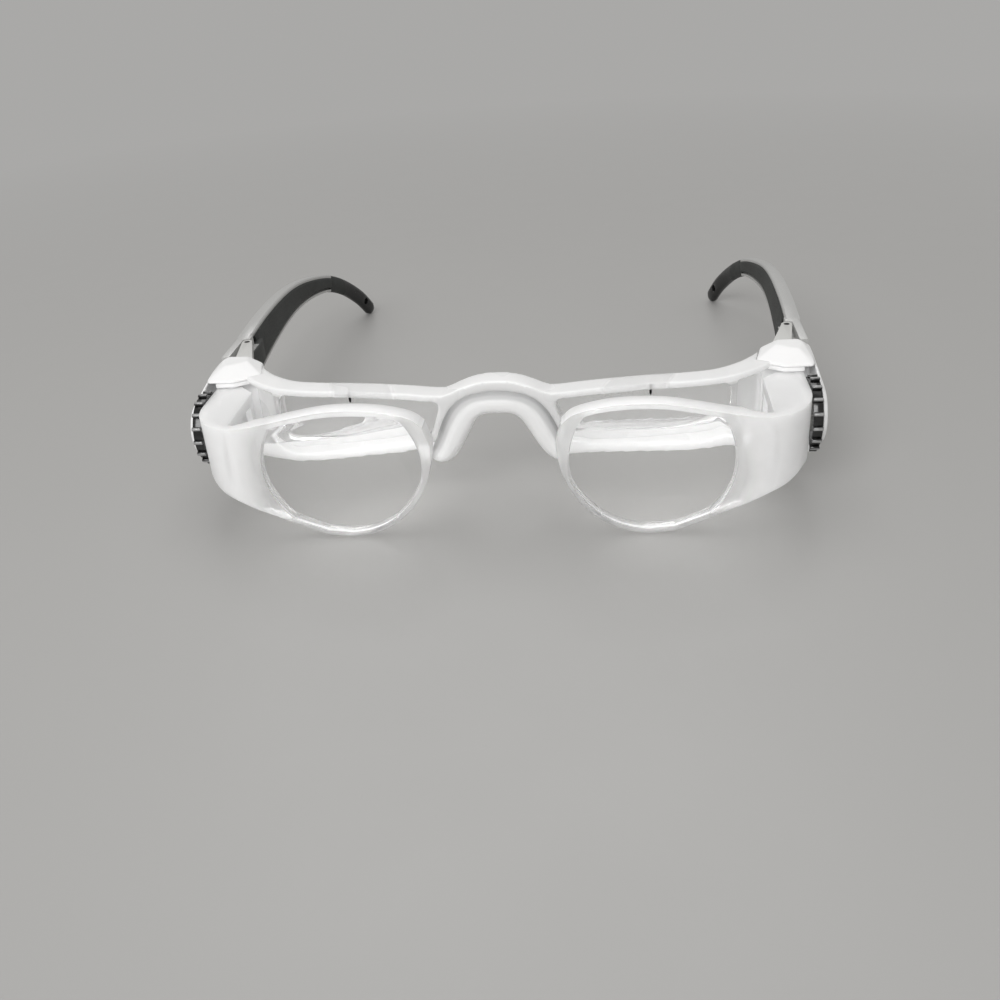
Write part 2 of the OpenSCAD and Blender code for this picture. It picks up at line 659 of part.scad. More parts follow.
module temple_liner() {
    last = shell_end * temple_steps;
    color([0.2, 0.22, 0.21])
    {
        loft([for (i = [1:last]) let (f = station_at(i))
            ring_of(i, liner_section(f[3], f[4], f[5]))]);
        translate([0, 0, tongue_low]) linear_extrude(tongue_top - tongue_low) polygon([
            [tongue_in - liner_gap, tongue_y - 0.6], [tongue_in - liner_gap, joined],
            [back_x, joined + liner_gap], [back_x, joined + pad_l], [tongue_in + 0.3, joined + pad_l],
            [tongue_in - pad_t, joined - 1], [tongue_in - pad_t, tongue_y]]);
    }
}
eyelet_station = 29;
module temple_tip() {
    first = shell_end * temple_steps;
    last = len(temple_stations) - 1;
    seat = station_at(first);
    hole = station_at(eyelet_station);
    centre = hole[0] - hole[1] * hole[4] / 2;
    color([0.14, 0.15, 0.15]) difference() {
        loft([for (i = [first:last]) let (f = station_at(i),
            k = i == last ? 0.7 : 1) ring_of(i, [for (q = tip_section(f[3], f[4]))
                [-f[4] / 2 + (q.x + f[4] / 2) * k, q.y * k]])]);
        translate(centre) rotate([0, 90, atan2(hole[1].y, hole[1].x)])
            cylinder(h = 2 * temple_w, r = eyelet_r, center = true);
    }
}
module hinge_pin() {
    color([0.7, 0.71, 0.72])
    translate([pivot_x, pivot_y, lug_low]) cylinder(h = lug_top - lug_low, r = pin_r);
}

rear_frame();
nose_saddle();
left_side() eyepiece_lens();  // eyepiece_lens_left
right_side() eyepiece_lens();  // eyepiece_lens_right
left_side() end_housing();  // end_housing_left
right_side() end_housing();  // end_housing_right
left_side() outer_cover();  // outer_cover_left
right_side() outer_cover();  // outer_cover_right
left_side() wheel_axle();  // wheel_axle_left
right_side() wheel_axle();  // wheel_axle_right
left_side() hinge_pin();  // hinge_pin_left
right_side() hinge_pin();  // hinge_pin_right
left_side() objective_carrier();  // objective_carrier_left
right_side() objective_carrier();  // objective_carrier_right
left_side() objective_lens();  // objective_lens_left
right_side() objective_lens();  // objective_lens_right
left_side() focus_wheel();  // focus_wheel_left
right_side() focus_wheel();  // focus_wheel_right
left_side() focus_pinion();  // focus_pinion_left
right_side() focus_pinion();  // focus_pinion_right
left_side() temple_shell();  // temple_shell_left
right_side() temple_shell();  // temple_shell_right
left_side() temple_liner();  // temple_liner_left
right_side() temple_liner();  // temple_liner_right
left_side() temple_tip();  // temple_tip_left
right_side() temple_tip();  // temple_tip_right
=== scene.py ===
import math

import bpy
from mathutils import Matrix, Vector


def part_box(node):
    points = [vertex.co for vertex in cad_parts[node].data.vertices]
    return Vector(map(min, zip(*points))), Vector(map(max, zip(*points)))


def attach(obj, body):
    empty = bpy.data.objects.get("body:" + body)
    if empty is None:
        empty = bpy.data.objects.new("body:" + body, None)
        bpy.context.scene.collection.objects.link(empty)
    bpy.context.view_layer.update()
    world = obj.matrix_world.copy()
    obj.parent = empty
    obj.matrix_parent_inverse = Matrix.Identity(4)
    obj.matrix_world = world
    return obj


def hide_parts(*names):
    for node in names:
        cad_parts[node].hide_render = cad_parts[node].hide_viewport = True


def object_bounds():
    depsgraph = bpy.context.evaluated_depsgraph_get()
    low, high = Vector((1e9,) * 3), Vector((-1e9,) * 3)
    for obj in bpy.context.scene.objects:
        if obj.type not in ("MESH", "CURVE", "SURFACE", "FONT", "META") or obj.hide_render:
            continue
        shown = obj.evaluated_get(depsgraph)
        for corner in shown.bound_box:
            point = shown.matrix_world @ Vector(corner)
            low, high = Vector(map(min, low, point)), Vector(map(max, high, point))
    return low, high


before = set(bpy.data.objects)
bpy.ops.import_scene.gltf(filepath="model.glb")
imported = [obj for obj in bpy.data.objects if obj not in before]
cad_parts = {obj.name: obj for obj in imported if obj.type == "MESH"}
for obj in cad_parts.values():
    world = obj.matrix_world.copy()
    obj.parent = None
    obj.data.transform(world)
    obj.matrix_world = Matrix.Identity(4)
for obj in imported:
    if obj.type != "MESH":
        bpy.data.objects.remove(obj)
cadLow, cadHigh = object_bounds()
print("frame loaded:", len(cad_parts), "solids")

mm = 0.001
frontY = cadLow.y  # front face of the carrier rims
sides = {"left": 1, "right": -1}

# reaches for merging points and for telling heights apart, and the bend that still counts as flat
clean = {"merge": 0.001 * mm, "mergeNew": 0.002 * mm, "level": 0.01 * mm,
         "flat": math.radians(0.4)}


# small helpers for working on one mesh at a time

def putDown():
    if bpy.context.mode != "OBJECT":
        bpy.ops.object.mode_set(mode="OBJECT")
    bpy.ops.object.select_all(action="DESELECT")


def pickUp(piece):
    putDown()
    piece.select_set(True)
    bpy.context.view_layer.objects.active = piece


def editAll(piece):
    pickUp(piece)
    bpy.ops.object.mode_set(mode="EDIT")
    bpy.ops.mesh.select_all(action="SELECT")


def applyModifiers(piece):
    pickUp(piece)
    for modifier in list(piece.modifiers):
        bpy.ops.object.modifier_apply(modifier=modifier.name)


def settle(piece):
    # the place goes into the mesh, the object stands at the origin
    pickUp(piece)
    bpy.ops.object.transform_apply(location=True, rotation=True, scale=True)


def outwards(piece):
    editAll(piece)
    bpy.ops.mesh.remove_doubles(threshold=clean["mergeNew"])
    bpy.ops.mesh.normals_make_consistent(inside=False)
    bpy.ops.object.mode_set(mode="OBJECT")


def copyOf(nodeName, pieceName):
    # a piece of its own from a node's solid, its flat faces made whole
    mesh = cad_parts[nodeName].data.copy()
    mesh.name = pieceName
    mesh.materials.clear()
    piece = bpy.data.objects.new(pieceName, mesh)
    bpy.context.scene.collection.objects.link(piece)
    pickUp(piece)
    bpy.ops.mesh.customdata_custom_splitnormals_clear()
    editAll(piece)
    bpy.ops.mesh.remove_doubles(threshold=clean["merge"])
    bpy.ops.mesh.dissolve_limited(angle_limit=clean["flat"])
    bpy.ops.object.mode_set(mode="OBJECT")
    return piece


def softenEdges(piece, width, segments=3, angle=28, smooth=32):
    bevel = piece.modifiers.new("soften", "BEVEL")
    bevel.width = width
    bevel.segments = segments
    bevel.limit_method = "ANGLE"
    bevel.angle_limit = math.radians(angle)
    bevel.miter_outer = "MITER_ARC"
    applyModifiers(piece)
    bpy.ops.object.shade_smooth_by_angle(angle=math.radians(smooth))


def melt(piece, voxel, rounds):
    # moulded look: every edge is rounded a little
    remesh = piece.modifiers.new("melt", "REMESH")
    remesh.mode = "VOXEL"
    remesh.voxel_size = voxel
    remesh.use_smooth_shade = True
    ease = piece.modifiers.new("ease", "SMOOTH")
    ease.factor = 0.5
    ease.iterations = rounds
    applyModifiers(piece)


def dress(piece, body, nodeName, finish):
    # the piece takes the node's place on its body
    piece.data.materials.clear()
    piece.data.materials.append(finish)
    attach(piece, body)
    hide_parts(nodeName)


def repaint(nodeName, finish):
    # the node's own solid is shown in this finish
    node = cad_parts[nodeName]
    if not node.material_slots:
        node.data.materials.append(finish)
    for holder in node.material_slots:
        holder.material = finish


# materials

# plane under which the eyepiece rims are milky: its falls to the back and the sides, its height
footSlope = {"back": 0.5, "side": 0.02, "low": 25.4 * mm, "high": 25.65 * mm}


class Wire:
    # one number on its way through the nodes, so that shader maths reads as sums
    def __init__(self, finish, socket):
        self.finish, self.socket = finish, socket

    def maths(self, operation, first, second):
        node = self.finish.node("ShaderNodeMath", {"operation": operation}, {0: first, 1: second})
        return Wire(self.finish, node.outputs[0])

    def __add__(self, other):
        return self.maths("ADD", self, other)

    def __sub__(self, other):
        return self.maths("SUBTRACT", self, other)

    def __rsub__(self, other):
        return self.maths("SUBTRACT", other, self)

    def __mul__(self, other):
        return self.maths("MULTIPLY", self, other)

    def __truediv__(self, other):
        return self.maths("DIVIDE", self, other)

    def __pow__(self, other):
        return self.maths("POWER", self, other)


class Finish:
    # one material, with its nodes added call by call
    def __init__(self, name):
        self.material = bpy.data.materials.new(name)
        self.material.use_nodes = True
        self.tree = self.material.node_tree
        self.tree.nodes.clear()
        self.out = self.node("ShaderNodeOutputMaterial")
        self.place = self.node("ShaderNodeTexCoord").outputs["Object"]
        self.turned = self.node("ShaderNodeNewGeometry").outputs["True Normal"]

    def node(self, kind, settings={}, values={}):
        made = self.tree.nodes.new(kind)
        for key, value in settings.items():
            setattr(made, key, value)
        for key, value in values.items():
            socket = made.inputs[key]
            value = value.socket if isinstance(value, Wire) else value
            if isinstance(value, bpy.types.NodeSocket):
                self.tree.links.new(value, socket)
            else:
                socket.default_value = value
        return made

    def noise(self, size, detail=3.0, roughness=0.5):
        # size is the width of the grain
        made = self.node("ShaderNodeTexNoise", {}, {
            "Vector": self.place, "Scale": 1 / size, "Detail": detail, "Roughness": roughness})
        return Wire(self, made.outputs["Fac"])

    def spread(self, wire, low, high, bottom=0.0, top=1.0):
        made = self.node("ShaderNodeMapRange", {"clamp": True}, {
            "Value": wire, "From Min": low, "From Max": high, "To Min": bottom, "To Max": top})
        return Wire(self, made.outputs["Result"])

    def varied(self, noise, bottom, top):
        # the noise's middle part drawn out to the two values
        return self.spread(noise, 0.3, 0.7, bottom, top)

    def between(self, share, first, second):
        made = self.node("ShaderNodeMix", {"data_type": "RGBA"}, {0: share, 6: first, 7: second})
        return made.outputs[2]

    def clouded(self, noise, first, second):
        return self.between(self.spread(noise, 0.35, 0.65), first, second)

    def axis(self, name):
        made = self.node("ShaderNodeSeparateXYZ", {}, {0: self.place})
        return Wire(self, made.outputs[name])

    def facing(self, name):
        made = self.node("ShaderNodeSeparateXYZ", {}, {0: self.turned})
        return Wire(self, made.outputs[name])

    def distance(self, first, second):
        return (first * first + second * second) ** 0.5

    def outward(self, middleZ):
        # 1 where the surface faces away from the middle of the nose arch, -1 where it faces it
        sideways, upwards = self.axis("X"), self.axis("Z") - middleZ
        away = self.distance(sideways, upwards)
        return (sideways * self.facing("X") + upwards * self.facing("Z")) / away

    def foot(self):
        # the milky foot of the eyepiece rims: its top slopes down to the back and the sides
        slope = (self.axis("Z") + (self.axis("Y") - frontY) * footSlope["back"]
                 + self.size(self.axis("X")) * footSlope["side"])
        return 1 - self.spread(slope, footSlope["low"], footSlope["high"])

    def bump(self, height, strength, distance):
        made = self.node("ShaderNodeBump", {}, {
            "Height": height, "Strength": strength, "Distance": distance})
        return made.outputs["Normal"]

    def most(self, first, second):
        return Wire(self, self.node("ShaderNodeMath", {"operation": "MAXIMUM"}, {
            0: first, 1: second}).outputs[0])

    def shader(self, values):
        return self.node("ShaderNodeBsdfPrincipled", {}, values).outputs[0]

    def mixed(self, share, first, second):
        return self.node("ShaderNodeMixShader", {}, {0: share, 1: first, 2: second}).outputs[0]

    def finished(self, shader):
        self.tree.links.new(shader, self.out.inputs["Surface"])
        return self.material

    def surface(self, values):
        return self.finished(self.shader(values))

    def size(self, wire):
        made = self.node("ShaderNodeMath", {"operation": "ABSOLUTE"}, {0: wire})
        return Wire(self, made.outputs[0])

    def lightPath(self, name):
        return Wire(self, self.node("ShaderNodeLightPath").outputs[name])

    def orClear(self, share, shader):
        clear = self.node("ShaderNodeBsdfTransparent", {}, {"Color": grey(1.0)}).outputs[0]
        return self.mixed(share, shader, clear)

    def throughLight(self, shader, passed):
        # clear and frosted plastic cast a light shadow only
        return self.orClear(self.lightPath("Is Shadow Ray") * passed, shader)

    def letOut(self, shader):
        # light mirrored to and fro inside a lens leaves it, where it would end as a black patch
        return self.orClear(self.spread(self.lightPath("Glossy Depth"), 1, 2), shader)


def grey(value, tint=(1.0, 1.0, 1.0)):
    return (value * tint[0], value * tint[1], value * tint[2], 1.0)


def glowing(weight, depth):
    # light goes some way into milky plastic, as deep for every colour
    return {"Subsurface Weight": weight, "Subsurface Radius": (depth, depth, depth),
            "Subsurface Scale": 1.0}


tints = {"cool": (1, 1, 1.005), "shell": (1, 1, 0.985), "lug": (1, 1, 0.97),
         "pinion": (1, 1, 0.96), "liner": (0.93, 1.03, 0.96)}

# how much light passes each plastic on its way to a shadow
passes = {"frosted": 0.8, "clear": 0.85, "soft": 0.7, "white": 0.45, "lens": 0.92}

# where the carrier clears towards its lens: the lens's middle, the two radii of the change, the
# heights above which its upward faces are made milky as a painted lit top, and of its sheerer foot,
# and the shares of milky plastic
carrierPlaces = {"middleX": 36.2 * mm, "middleZ": 18.8 * mm, "clearR": 20.4 * mm, "milkyR": 29 * mm,
                 "topLow": 19 * mm, "topHigh": 21 * mm, "sheerLow": 3 * mm, "sheerHigh": 22 * mm,
                 "leastLow": 0.1, "leastHigh": 0.36, "milkiest": 0.98}


def frostedPlastic():
    paint = Finish("frostedPlastic")
    place = carrierPlaces
    cloud = paint.noise(12 * mm, 2.0)
    grain = paint.noise(0.35 * mm, 2.0, 0.6)
    sideways = paint.size(paint.axis("X")) - place["middleX"]
    height = paint.axis("Z")
    upwards = height - place["middleZ"]
    away = paint.distance(sideways, upwards)
    milk = (paint.spread(away, place["clearR"], place["milkyR"])
            - paint.spread(cloud, 0.35, 0.7, 0.0, 0.2))
    # painted light: faces turned up on the rim's top are made milky white, so they read as lit from
    # above
    paintedLitTop = (paint.spread(paint.facing("Z"), 0.4, 0.75)
               * paint.spread(height, place["topLow"], place["topHigh"]))
    milk = paint.most(milk, paintedLitTop)
    least = paint.spread(height, place["sheerLow"], place["sheerHigh"],
                         place["leastLow"], place["leastHigh"])
    share = milk * (place["milkiest"] - least) + least
    tone = paint.clouded(cloud, grey(0.92), grey(0.97, tints["cool"]))
    body = paint.shader({
        "Base Color": tone, "Roughness": paint.varied(grain, 0.34, 0.46),
        "Normal": paint.bump(grain, 0.12, 0.06 * mm), "Transmission Weight": 0.1, "IOR": 1.49,
        **glowing(0.8, 5 * mm)})
    sheer = paint.shader({
        "Base Color": grey(0.98), "Roughness": paint.varied(cloud, 0.10, 0.18),
        "Transmission Weight": 1.0, "IOR": 1.38})
    return paint.finished(paint.throughLight(paint.mixed(share, sheer, body), passes["frosted"]))


archMiddle = 14 * mm  # height of the middle of the nose arch

# heights and widths of the rear frame where the plastic turns milky, and the sheer stretch of
# its bar, whose ends lean about the line at leanY
clearPlaces = {"barLow": 28.2 * mm, "barHigh": 29.3 * mm,
               "bridgeIn": 14.0 * mm, "bridgeOut": 17.5 * mm, "endIn": 53 * mm, "endOut": 68 * mm,
               "sheerIn": 26 * mm, "sheerOut": 42 * mm, "sheerEase": 1.2 * mm, "sheerLean": 0.35,
               "leanY": -62 * mm, "windowShare": 0.5, "endShare": 0.75, "milkyShare": 0.84,
               "leastShare": 0.12}


def clearPlastic():
    paint = Finish("clearPlastic")
    place = clearPlaces
    cloud = paint.noise(20 * mm, 2.0)
    grain = paint.noise(0.4 * mm, 2.0)
    across = paint.size(paint.axis("X"))
    height = paint.axis("Z")
    leaning = across - (paint.axis("Y") - place["leanY"]) * place["sheerLean"]
    windowIn, windowOut, ease = place["sheerIn"], place["sheerOut"], place["sheerEase"]
    window = (paint.spread(leaning, windowIn, windowIn + ease)
              * (1 - paint.spread(leaning, windowOut - ease, windowOut)))
    bar = (paint.spread(height, place["barLow"], place["barHigh"])
           * (1 - window * place["windowShare"]))
    milk = paint.most(bar, paint.foot())
    bridge = 1 - paint.spread(across, place["bridgeIn"], place["bridgeOut"])
    milk = paint.most(milk, bridge)
    milk = paint.most(milk, paint.spread(across, place["endIn"], place["endOut"],
                                         0.0, place["endShare"]))
    tone = paint.clouded(cloud, grey(0.94), grey(0.97))
    # painted shade: the bridge is painted darker grey where it faces the nose, as the shade under
    # the arch
    archShade = bridge * (1 - paint.spread(paint.outward(archMiddle), -0.2, 0.7))
    tone = paint.between(archShade, tone, grey(0.66))  # darker where it faces the nose
    milky = paint.shader({
        "Base Color": tone,
        "Roughness": paint.varied(cloud, 0.22, 0.32),
        "Normal": paint.bump(grain, 0.06, 0.04 * mm), "IOR": 1.49, **glowing(0.7, 6 * mm)})
    sheer = paint.shader({
        "Base Color": grey(0.97), "Roughness": paint.varied(cloud, 0.06, 0.14),
        "Transmission Weight": 1.0, "IOR": 1.22})
    share = milk * place["milkyShare"] + place["leastShare"]
    return paint.finished(paint.throughLight(paint.mixed(share, sheer, milky), passes["clear"]))


def softPlastic():
    paint = Finish("softPlastic")
    cloud = paint.noise(6 * mm, 2.0)
    grain = paint.noise(0.3 * mm, 2.0)
    tone = paint.clouded(cloud, grey(0.94), grey(0.98))
    # painted shade: the saddle is painted darker where it faces away from the arch's middle, the
    # shaded groove by the frame's rib
    grooveShade = paint.spread(paint.outward(archMiddle), 0.2, 0.8)
    tone = paint.between(grooveShade, tone, grey(0.55))
    body = paint.shader({
        "Base Color": tone, "Roughness": paint.varied(grain, 0.32, 0.46),
        "Normal": paint.bump(grain, 0.1, 0.05 * mm), "Transmission Weight": 0.1, "IOR": 1.43,
        **glowing(0.85, 6 * mm)})
    return paint.finished(paint.throughLight(body, passes["soft"]))


# behind this the hinge lug is coloured a darker grey
lug = {"start": frontY + 40.6 * mm, "ease": 1.2 * mm}


def whitePlastic():
    paint = Finish("whitePlastic")
    cloud = paint.noise(9 * mm, 3.0)
    grain = paint.noise(0.25 * mm, 2.0)
    white = paint.clouded(cloud, grey(0.88), grey(0.91))
    tone = paint.between(paint.spread(paint.axis("Y"), lug["start"], lug["start"] + lug["ease"]),
                         white, grey(0.55, tints["lug"]))
    body = paint.shader({
        "Base Color": tone, "Roughness": paint.varied(cloud, 0.3, 0.42),
        "Normal": paint.bump(grain, 0.08, 0.04 * mm), "IOR": 1.5})
    return paint.finished(paint.throughLight(body, passes["white"]))


def lensPlastic():
    paint = Finish("lensPlastic")
    haze = paint.noise(8 * mm, 2.0)
    glass = paint.shader({
        "Base Color": grey(0.985), "Roughness": paint.spread(haze, 0.55, 0.8, 0.0, 0.02),
        "Transmission Weight": 1.0, "IOR": 1.53})
    ground = paint.shader({  # the edge is ground matt
        "Base Color": grey(0.93), "Roughness": paint.varied(haze, 0.45, 0.6),
        **glowing(0.6, 3 * mm)})
    face = paint.spread(paint.size(paint.facing("Y")), 0.45, 0.6)
    lens = paint.letOut(paint.mixed(face, ground, glass))
    return paint.finished(paint.throughLight(lens, passes["lens"]))


# eyepiece: the small round bowl ground into it, and its milky foot in the rim
eyepiecePlaces = {"middleX": 34.5 * mm, "middleZ": 29 * mm, "bowl": 9.2 * mm, "line": 0.22 * mm,
                  "lineTop": 24 * mm, "lineFade": 26 * mm, "footShare": 0.9, "lineShare": 0.3,
                  "leastShare": 0.1}


def eyeLensPlastic():
    paint = Finish("eyeLensPlastic")
    place = eyepiecePlaces
    haze = paint.noise(8 * mm, 2.0)
    sideways = paint.size(paint.axis("X")) - place["middleX"]
    height = paint.axis("Z")
    upwards = height - place["middleZ"]
    offLine = paint.size(paint.distance(sideways, upwards) - place["bowl"])
    line = ((1 - paint.spread(offLine, place["line"] * 0.5, place["line"] * 1.5))
            * (1 - paint.spread(height, place["lineTop"], place["lineFade"])))
    glass = paint.shader({
        "Base Color": grey(0.985), "Roughness": paint.spread(haze, 0.55, 0.8, 0.0, 0.012),
        "Transmission Weight": 1.0, "IOR": 1.18})
    milky = paint.shader({
        "Base Color": grey(0.84), "Roughness": paint.varied(haze, 0.2, 0.3),
        **glowing(0.6, 4 * mm)})
    share = paint.most(paint.foot() * place["footShare"],
                       line * place["lineShare"] + place["leastShare"])
    return paint.finished(paint.throughLight(paint.mixed(share, glass, milky), passes["lens"]))


# thumb wheel: its axis, its radii in the grooves and over the ribs, and the radii over which the
# crests carry a painted highlight
wheelSize = {"y": -61 * mm, "z": 20.3 * mm, "core": 8.4 * mm, "rim": 9.3 * mm,
             "highlightStart": 9.02 * mm, "highlightEnd": 9.28 * mm, "coreEase": 0.12 * mm,
             "ribs": 16, "ribRound": 0.55 * mm, "ribSides": 16, "ribEase": 0.22 * mm}


def blackPlastic():
    paint = Finish("blackPlastic")
    dust = paint.noise(1.2 * mm, 4.0, 0.65)
    back = paint.axis("Y") - wheelSize["y"]
    up = paint.axis("Z") - wheelSize["z"]
    # painted highlight: the rib crests are painted light grey, standing in for the lamp's gleam on
    # them
    crestHighlight = paint.spread(paint.distance(back, up), wheelSize["highlightStart"], wheelSize["highlightEnd"])
    tone = paint.between(paint.spread(dust, 0.55, 0.85), grey(0.005), grey(0.02))
    tone = paint.between(crestHighlight * paint.spread(dust, 0.2, 0.6, 0.6, 1.0), tone, grey(0.34))
    return paint.surface({
        "Base Color": tone, "Roughness": paint.varied(dust, 0.14, 0.22),
        "Normal": paint.bump(dust, 0.06, 0.04 * mm), "IOR": 1.5,
        "Coat Weight": 0.35, "Coat Roughness": 0.12})


def greyPlastic():
    paint = Finish("greyPlastic")
    fleck = paint.noise(0.18 * mm, 2.0, 0.7)
    cloud = paint.noise(20 * mm, 2.0)
    tone = paint.between(paint.spread(fleck, 0.35, 0.7), grey(0.47, tints["shell"]),
                         grey(0.62, tints["shell"]))
    return paint.surface({
        "Base Color": tone, "Roughness": paint.varied(cloud, 0.32, 0.42),
        "Metallic": paint.spread(fleck, 0.4, 0.7, 0.25, 0.6),
        "Normal": paint.bump(fleck, 0.05, 0.03 * mm)})


def darkLiner():
    paint = Finish("darkLiner")
    grain = paint.noise(0.45 * mm, 3.0, 0.6)
    cloud = paint.noise(15 * mm, 2.0)
    tone = paint.clouded(cloud, grey(0.018, tints["liner"]), grey(0.03, tints["liner"]))
    return paint.surface({
        "Base Color": tone, "Roughness": paint.varied(grain, 0.5, 0.66),
        "Normal": paint.bump(grain, 0.25, 0.08 * mm)})


# the ear hook is matt like the liner up to here, and glossy behind
hookGloss = {"start": 66.5 * mm, "ease": 0.4 * mm, "matt": 0.34}


def hookPlastic():
    paint = Finish("hookPlastic")
    rub = paint.noise(2 * mm, 4.0, 0.6)
    start = hookGloss["start"]
    gloss = paint.spread(paint.axis("Y"), start, start + hookGloss["ease"])
    tone = paint.between(paint.spread(rub, 0.5, 0.8), grey(0.01), grey(0.022))
    tone = paint.between(gloss, grey(0.024, tints["liner"]), tone)
    return paint.surface({
        "Base Color": tone,
        "Roughness": paint.varied(rub, 0.16, 0.28) + (1 - gloss) * hookGloss["matt"],
        "Normal": paint.bump(rub, 0.12, 0.06 * mm)})


def steel(name, low, high):
    paint = Finish(name)
    grain = paint.noise(0.3 * mm, 3.0)
    tone = paint.between(grain.socket, grey(low), grey(high))
    return paint.surface({
        "Base Color": tone, "Metallic": 1.0, "Roughness": paint.varied(grain, 0.22, 0.36)})


def pinionPlastic():
    paint = Finish("pinionPlastic")
    cloud = paint.noise(2 * mm, 3.0)
    tone = paint.between(paint.varied(cloud, 0.0, 1.0), grey(0.62, tints["pinion"]),
                         grey(0.7, tints["pinion"]))
    return paint.surface({
        "Base Color": tone, "Roughness": paint.varied(cloud, 0.3, 0.45),
        "Normal": paint.bump(cloud, 0.1, 0.04 * mm)})


finishes = {
    "frosted": frostedPlastic(), "clear": clearPlastic(), "soft": softPlastic(),
    "white": whitePlastic(), "lens": lensPlastic(), "eyeLens": eyeLensPlastic(),
    "black": blackPlastic(), "grey": greyPlastic(), "liner": darkLiner(), "hook": hookPlastic(),
    "steel": steel("steel", 0.5, 0.62), "darkSteel": steel("darkSteel", 0.012, 0.03),
    "pinion": pinionPlastic()}
print("finishes mixed:", len(finishes))


# objective lens: a flat disc whose back is drawn out to the dome, ring by ring, then trimmed by
# the solid's outline, which is first made longer and moved ahead
objectiveShape = {"radius": 19.6 * mm, "dome": 85 * mm, "thick": 4 * mm, "rings": 20,
                  "around": 160, "edgeRound": 0.12 * mm, "trimLong": 5, "trimAhead": -2 * mm}


def sagAt(radius):
    # how far the dome has fallen at this radius
    return objectiveShape["dome"] - math.sqrt(objectiveShape["dome"] ** 2 - radius ** 2)


def objectiveLens(side):
    shape = objectiveShape
    nodeName = "objective_lens_" + side
    low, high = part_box(nodeName)
    middle = Vector((sides[side] * carrierPlaces["middleX"], low.y, carrierPlaces["middleZ"]))
    putDown()
    bpy.ops.mesh.primitive_circle_add(
        vertices=shape["around"], radius=shape["radius"], fill_type="NGON",
        location=middle, rotation=(math.pi / 2, 0, 0))
    lens = bpy.context.object
    lens.name = "objectiveLens_" + side
    settle(lens)
    editAll(lens)
    sag = sagAt(shape["radius"])
    bpy.ops.mesh.extrude_region_move(
        TRANSFORM_OT_translate={"value": (0, shape["thick"] - sag, 0)})
    radius, drop = shape["radius"], sag
    for step in range(1, shape["rings"] + 1):
        nextRadius = shape["radius"] * (1 - step / (shape["rings"] + 1))
        nextDrop = sagAt(nextRadius)
        bpy.ops.mesh.extrude_region_move(
            TRANSFORM_OT_translate={"value": (0, drop - nextDrop, 0)})
        share = nextRadius / radius
        bpy.ops.transform.resize(value=(share, 1, share), center_override=middle)
        radius, drop = nextRadius, nextDrop
    bpy.ops.mesh.poke()
    bpy.ops.object.mode_set(mode="OBJECT")
    top = middle + Vector((0, shape["thick"], 0))
    tip = min(lens.data.vertices, key=lambda v: (v.co - top).length)
    tip.co = top
    outwards(lens)

    # the solid's own outline cuts the disc, drawn long so that it passes both faces
    trimmer = copyOf(nodeName, "trimmer")
    editAll(trimmer)
    bpy.ops.transform.resize(value=(1, shape["trimLong"], 1), center_override=middle)
    bpy.ops.transform.translate(value=(0, shape["trimAhead"], 0))
    trim = lens.modifiers.new("trim", "BOOLEAN")
    trim.operation = "INTERSECT"
    trim.solver = "EXACT"
    trim.object = trimmer
    putDown()
    applyModifiers(lens)
    bpy.data.objects.remove(trimmer)
    softenEdges(lens, shape["edgeRound"], 2, 40, 30)
    dress(lens, "carrier_" + side, nodeName, finishes["lens"])


for side in sides:
    objectiveLens(side)
print("objective lenses ground")


# mouldings: the CAD solids with their edges eased as from a mould; body None is the frame
mouldings = {
    "objective_carrier": {"name": "carrier", "body": "carrier", "slot": "frosted_plastic",
                          "finish": "frosted", "ease": 0.25 * mm},
    "end_housing": {"name": "housing", "body": None, "slot": "white_plastic",
                    "finish": "white", "ease": 0.18 * mm},
    "outer_cover": {"name": "cover", "body": None, "slot": "white_plastic",
                    "finish": "white", "voxel": 0.3 * mm, "rounds": 7},
    "eyepiece_lens": {"name": "eyepiece", "body": None, "slot": "lens",
                      "finish": "eyeLens", "ease": 0.1 * mm},
    "temple_shell": {"name": "templeShell", "body": "temple", "slot": "grey_plastic",
                     "finish": "grey", "ease": 0.25 * mm},
    "temple_liner": {"name": "templeLiner", "body": "temple", "slot": "dark_liner",
                     "finish": "liner", "ease": 0.2 * mm},
    "temple_tip": {"name": "earHook", "body": "temple", "slot": "hook_plastic",
                   "finish": "hook", "ease": 0.2 * mm}}

for nodeBase, moulding in mouldings.items():
    for side in sides:
        nodeName = nodeBase + "_" + side
        piece = copyOf(nodeName, moulding["name"] + "_" + side)
        if "voxel" in moulding:
            melt(piece, moulding["voxel"], moulding["rounds"])
        else:
            softenEdges(piece, moulding["ease"])
        body = moulding["body"] + "_" + side if moulding["body"] else "frame"
        dress(piece, body, nodeName, finishes[moulding["finish"]])
print("mouldings eased")


# thumb wheels: the core is the solid's own, the ribs are rounded rods let into it

